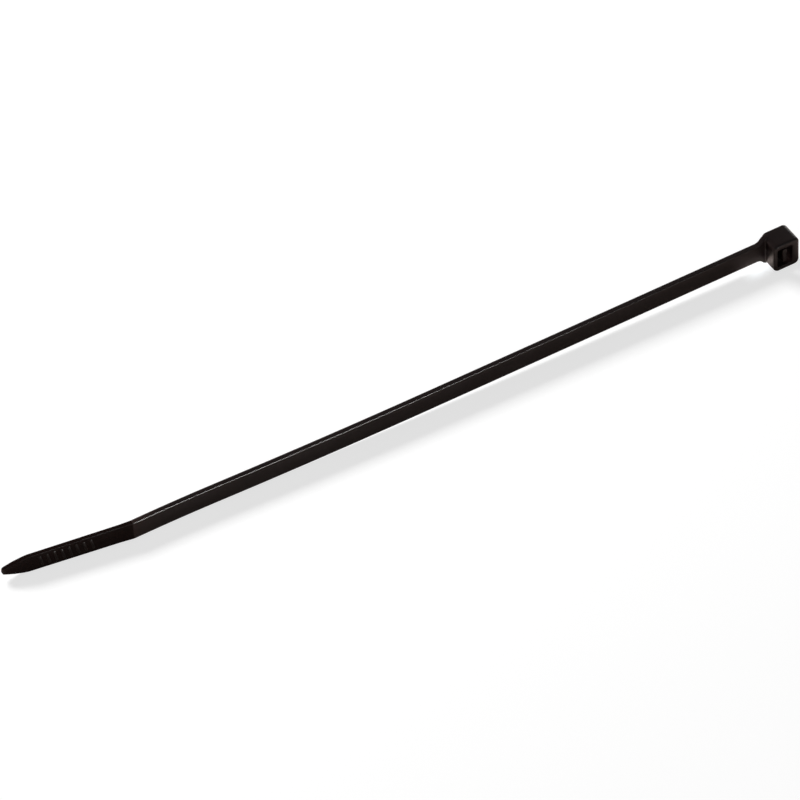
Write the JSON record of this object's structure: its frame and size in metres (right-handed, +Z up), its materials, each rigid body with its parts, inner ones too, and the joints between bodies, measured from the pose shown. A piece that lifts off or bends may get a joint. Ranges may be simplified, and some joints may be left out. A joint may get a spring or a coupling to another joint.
{
  "type": "cable tie",
  "caption": "Small black nylon cable tie lying on its side edge: a flat ratchet strap with a bent pointed tail and a square locking head.",
  "frame": {"origin": "centre of the underside of the bounding box, on the surface that the tie lies on", "axes": "+X along the strap towards the head; +Z up, across the strap's width; +Y towards the toothed side, so the smooth side faces -Y"},
  "size_m": [0.1997, 0.0106, 0.0078],
  "materials": {
    "nylon": "black moulded nylon, satin"
  },
  "bodies": {
    "root": {"cable_tie": "nylon"}
  },
  "joints": []
}
